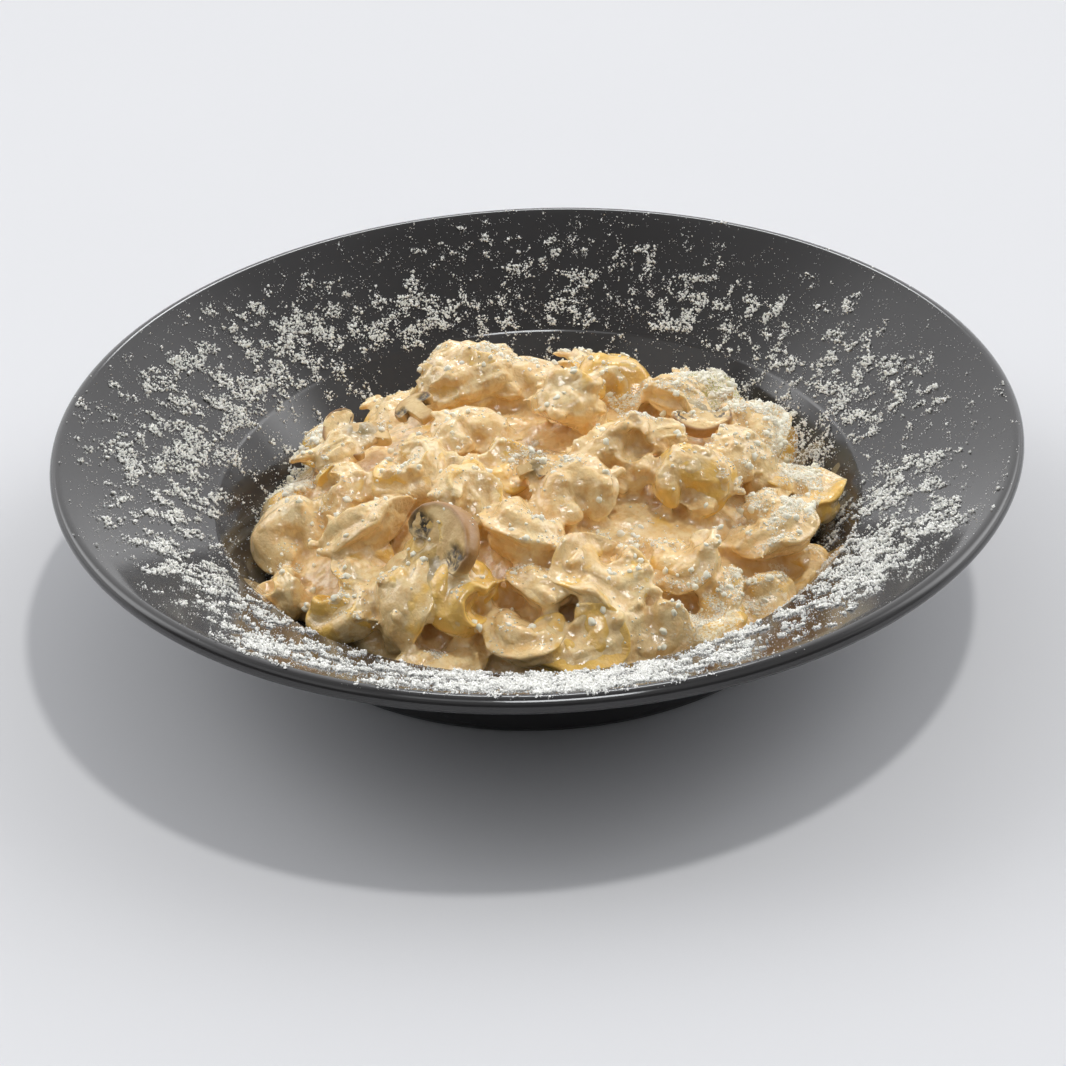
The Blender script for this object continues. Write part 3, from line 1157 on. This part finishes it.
# Soft boxes: compass direction from +x, height angle, distance, width, height and radiance.
SOFT_BOXES = {
    "right_box": (4, 23, 1.5, 1.4, 0.8, 0.45),
    "left_box": (208, 37, 1.5, 1.0, 0.6, 0.45),
    "top_box": (-82, 64, 1.6, 0.55, 0.42, 15.0),
    "wall_box": (-100, 62, 1.6, 1.0, 0.5, 1.4),
    "back_box": (88, 46, 1.6, 0.40, 0.26, 14.0),
}
CAMERA_REACH, CAMERA_LIFT = 0.689177, 30.055            # metres from the aim, degrees over the table
CAMERA_AIM = (0.0, 0.0, 0.0519)                         # the middle of the lip
CAMERA_TURNS = {"up": 0.177, "right": -3.045, "forward": 2.475}     # degrees about each of its axes
CAMERA_LENS, CAMERA_SENSOR = 74.30, 36.0


def linked(name, data):
    """A new object in the scene for a mesh, a lamp or a camera."""
    made = bpy.data.objects.new(name, data)
    bpy.context.scene.collection.objects.link(made)
    return made


def face_along(made, direction):
    """Turns a lamp so that it shines against a direction."""
    made.rotation_mode = "QUATERNION"
    made.rotation_quaternion = Vector(direction).to_track_quat("Z", "Y")


def build_floor():
    """A plain pale floor, very slightly mottled."""
    half = FLOOR_HALF
    mesh = bpy.data.meshes.new("studio_floor")
    corners = [(-half, -half, 0), (half, -half, 0), (half, half, 0), (-half, half, 0)]
    mesh.from_pydata(corners, [], [(0, 1, 2, 3)])
    made, board, shader = finish_base("studio_paper")
    tone = board.mix(board.noise(board.place(), 3.0), paint(219, 220, 223), paint(222, 223, 226))
    board.fill(shader, Base_Color=tone, Roughness=0.95, Specular_IOR_Level=0.0)
    mesh.materials.append(made)
    linked("studio_floor", mesh)


def build_lamps():
    """A high key light from behind and a little to the right, and soft boxes that only the gloss shows."""
    sun = bpy.data.lights.new("key_light", "SUN")
    sun.energy, sun.angle, sun.color = KEY_STRENGTH, math.radians(KEY_WIDTH), (1.0, 0.985, 0.96)
    key = linked("key_light", sun)
    key.visible_glossy = False
    face_along(key, KEY_FROM)
    for name, (compass, height, reach, wide, tall, glow) in SOFT_BOXES.items():
        lamp = bpy.data.lights.new(name, "AREA")
        lamp.shape, lamp.size, lamp.size_y = "RECTANGLE", wide, tall
        lamp.energy, lamp.color = glow * math.pi * wide * tall, (0.96, 0.98, 1.0)
        c, h = math.radians(compass), math.radians(height)
        box = linked(name, lamp)
        box.visible_diffuse = False
        box.location = Vector((math.cos(c) * math.cos(h), math.sin(c) * math.cos(h), math.sin(h))) * reach
        face_along(box, box.location)


def grey_light(level):
    """A very slightly cool white of some strength."""
    return (level, 1.006 * level, 1.02 * level, 1.0)


def banded(board, height, colour, *bands):
    """A colour that changes to the next one across each band of heights, going up."""
    for low, high, above in bands:
        colour = board.mix(board.spread(height, low, high), colour, above)
    return colour


def build_room():
    """The light of the room: bright walls behind and at the sides, a dark front with a soft fill above it,
    and a dim ceiling.  Looked at directly, the room is plain and pale."""
    world = bpy.data.worlds.new("studio")
    world.use_nodes = True
    board = Board(world.node_tree)
    way = board.node("ShaderNodeSeparateXYZ", Vector=board.node("ShaderNodeTexCoord").outputs["Generated"])
    height = way.outputs["Z"]
    sideways = board.math("ABSOLUTE", way.outputs["X"])
    walls = board.mix(board.spread(sideways, 0.42, 0.72), grey_light(1.35), grey_light(4.2))
    behind = banded(board, height, grey_light(1.30), (0.28, 0.42, walls), (0.70, 0.90, grey_light(0.46)))
    front = banded(board, height, grey_light(0.07), (0.02, 0.10, grey_light(0.02)),
                   (0.36, 0.58, grey_light(0.46)), (0.86, 0.98, grey_light(0.20)))
    backward = board.math("ADD", way.outputs["Y"], board.times(sideways, 0.20))
    room = board.mix(board.spread(backward, 0.08, 0.48), front, behind)
    seen = board.node("ShaderNodeLightPath").outputs["Is Camera Ray"]
    shown = board.mix(seen, room, grey_light(0.81))
    board.fill(world.node_tree.nodes["Background"], Color=shown, Strength=1.0)
    bpy.context.scene.world = world
    bpy.context.scene.view_settings.view_transform = "Standard"


def build_camera():
    """The camera, from its distance, its height angle and small turns about its own axes."""
    lift = math.radians(CAMERA_LIFT)
    place = Vector((0.0, -CAMERA_REACH * math.cos(lift), CAMERA_REACH * math.sin(lift)))
    forward = (-place).normalized()
    right = forward.cross(Vector((0.0, 0.0, 1.0))).normalized()
    axes = {"up": right.cross(forward), "right": right, "forward": forward}
    for about, turn in CAMERA_TURNS.items():
        spin = Matrix.Rotation(math.radians(turn), 3, axes[about])
        axes = {name: spin @ axis for name, axis in axes.items()}
    lens = bpy.data.cameras.new("main_camera")
    lens.lens, lens.sensor_width = CAMERA_LENS, CAMERA_SENSOR
    lens.clip_start, lens.clip_end = 0.01, 30.0
    made = linked("main_camera", lens)
    turned = Matrix((axes["right"], axes["up"], -axes["forward"])).transposed().to_4x4()
    made.matrix_world = Matrix.Translation(place + Vector(CAMERA_AIM)) @ turned
    bpy.context.scene.camera = made


# ---- the dish --------------------------------------------------------------------------------------
build_floor()
build_lamps()
build_room()
build_camera()

cream = cream_group()
pasta_finish = creamed("creamed_pasta", cream, paint(238, 192, 90))
green_finish = creamed("creamed_green_pasta", cream, paint(190, 190, 104))
sauce_finish = creamed("cream_sauce", cream, paint(238, 196, 106))
chicken_look = creamed("creamed_chicken", cream, paint(234, 204, 158), bare=0.25)
mushroom_look = mushroom_finish()
glaze = glaze_finish()
cheese = cheese_finish("grated_cheese", paint(246, 246, 238), paint(253, 253, 248),
                       depth=0.00028, powdery=0.0)
crumb_look = cheese_finish("creamy_crumbs", paint(255, 243, 214), paint(255, 250, 234),
                           depth=0.00026, powdery=0.6)
pepper = plain_finish("ground_pepper", paint(58, 48, 40), rough=0.6)
thin_sauce = plain_finish("thin_sauce", paint(150, 138, 108), rough=0.25)

show_solid("charcoal_plate", *plate_solid(), glaze, "glaze", "plate")

solids = [core_solid()]
for index, (x, y, lift, heading, lean, roll, size, bare, kind) in enumerate(TORTELLINI, 1):
    points, brim = tortellino(size, index, *FOLDS[kind])
    vertices, faces = tube_solid(posed(points, seat(x, y, lift, heading, lean, roll, SEAT * size)))
    vertices = kept_in_well(vertices, WELL_GAP)
    faces = outward(vertices, faces)
    solids.append((vertices, faces))
    bareness = np.append(bare + BRIM_BARE * brim.ravel(), [bare, bare])
    show_solid(f"pasta_{index:02d}", vertices, faces, green_finish if index == GREEN_PIECE else pasta_finish,
               "pasta", f"tortellino_{index:02d}", bare=bareness,
               crease=creases(vertices, faces, *PASTA_CREASES), dust=dust_on(vertices, faces))
smothered = []
for index, (*place, size, thickness) in enumerate(MUSHROOMS, 1):
    vertices, faces, gill, skin = mushroom(size, thickness, index)
    vertices = posed(vertices, seat(*place, thickness / 2.0))
    smothered.append((vertices, faces))
    show_solid(f"mushroom_slice_{index:02d}", vertices, faces, mushroom_look, "mushroom",
               f"mushroom_{index:02d}", gill=gill, skin=skin)
for index, row in enumerate(CHICKEN, 1):
    place, lengths = row[:6], row[6:]
    vertices, faces = chicken(lengths, index)
    vertices = posed(vertices, seat(*place, lengths[2] / 2.0))
    solids.append((vertices, faces))
    show_solid(f"chicken_chunk_{index:02d}", vertices, faces, chicken_look, "chicken", f"chicken_{index:02d}",
               crease=creases(vertices, faces, *CHICKEN_CREASES), dust=dust_on(vertices, faces))

clouds = [vertices for vertices, _ in solids[1:]]
sauce, faces = sauce_solid(solids + smothered + lumps(height_map(clouds)))
whole = mesh_of("cream_sauce", sauce, faces,
                crease=creases(sauce, faces, *SAUCE_CREASES), bare=SAUCE_SHOWS * bareness_near(sauce),
                dust=dust_on(sauce, faces), grey=greyness_near(sauce))
for index, slab in enumerate(slabs_of(whole, SAUCE_CUTS), 1):
    show(f"cream_sauce_{index}", slab, sauce_finish, "sauce", *(["sauce_core"] if index == 1 else []))
show_solid("sauce_smears", *smear_solid(), thin_sauce, "sauce")

# Cheese on the plate: shape; bits tried a square millimetre, seed; inner and outer radius, raggedness;
# smallest and largest half size, height of the pile.
for name, *kind in (
        ("cheese_clusters", OCTAHEDRON, 1.5, 211, 88.0, 148.0, 0.14, 0.28, 0.64, 0.5),
        ("cheese_grains", OCTAHEDRON, 2.25, 221, 86.0, 148.2, 0.34, 0.14, 0.34, 0.6),
        ("cheese_dust", TETRAHEDRON, 2.0, 231, 84.0, 148.5, 0.90, 0.06, 0.16, 0.1)):
    show_solid(name, *cheese_on_plate(*kind), cheese, "cheese", smooth=False)

# Crumbs on the food: finish, slot, shape; places tried and most kept, seed; smallest half size, how much
# larger the largest is, the die's power; how closely they follow the dusting, least share kept where steep.
heights = height_map(clouds + [sauce])
ball = ball_shape(4, 8)
for name, finish, slot, *kind in (
        ("cheese_crumbs", crumb_look, "cheese", ball, 30000, 2400, 301, 0.34, 0.95, 3.4, 0.75, 0.25),
        ("cheese_powder", crumb_look, "cheese", OCTAHEDRON, 200000, 20000, 311, 0.16, 0.26, 2.0, 1.0, 0.05),
        ("pepper_flecks", pepper, "sauce", OCTAHEDRON, 900, 240, 321, 0.09, 0.14, 1.5, 0.0, 0.4)):
    show_solid(name, *crumbs_on_food(heights, *kind), finish, slot)
